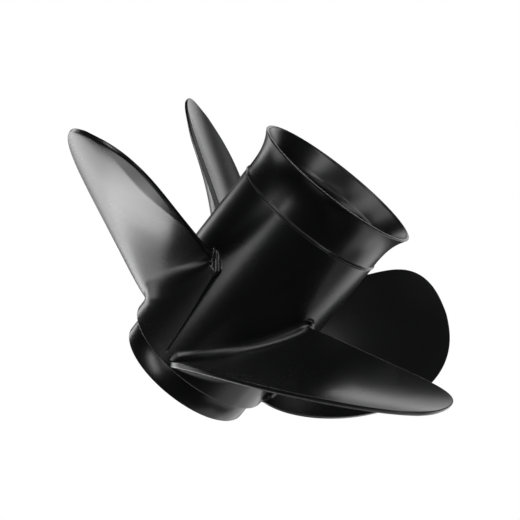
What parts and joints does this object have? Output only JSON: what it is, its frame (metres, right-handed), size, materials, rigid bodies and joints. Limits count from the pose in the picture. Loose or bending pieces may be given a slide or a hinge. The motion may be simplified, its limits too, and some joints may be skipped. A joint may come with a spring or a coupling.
{
  "type": "outboard motor propeller",
  "caption": "Right-hand outboard boat propeller, with wide swept blades on a through-hub exhaust barrel, a flared rear ring, a rubber bushing and a splined sleeve.",
  "frame": {"origin": "centre of the hub's front face, which is the face the propeller stands on", "axes": "+Z along the hub axis, from the front end of the hub to the flared rear end; it is the direction the wake leaves in. The root of blade_1 lies 68 degrees clockwise of +X, seen from the rear."},
  "size_m": [0.2248, 0.2248, 0.1322],
  "materials": {
    "black_paint": "satin black enamel over cast aluminium",
    "black_rubber": "matte",
    "brass": "machined"
  },
  "bodies": {
    "root": {"front_collar": "black_paint", "hub_barrel": "black_paint", "diffuser_ring": "black_paint", "inner_hub": "black_paint", "rib_1": "black_paint", "rib_2": "black_paint", "rib_3": "black_paint", "rib_4": "black_paint", "blade_1": "black_paint", "blade_2": "black_paint", "blade_3": "black_paint", "blade_4": "black_paint", "rubber_bushing": "black_rubber", "splined_sleeve": "brass"}
  },
  "joints": []
}
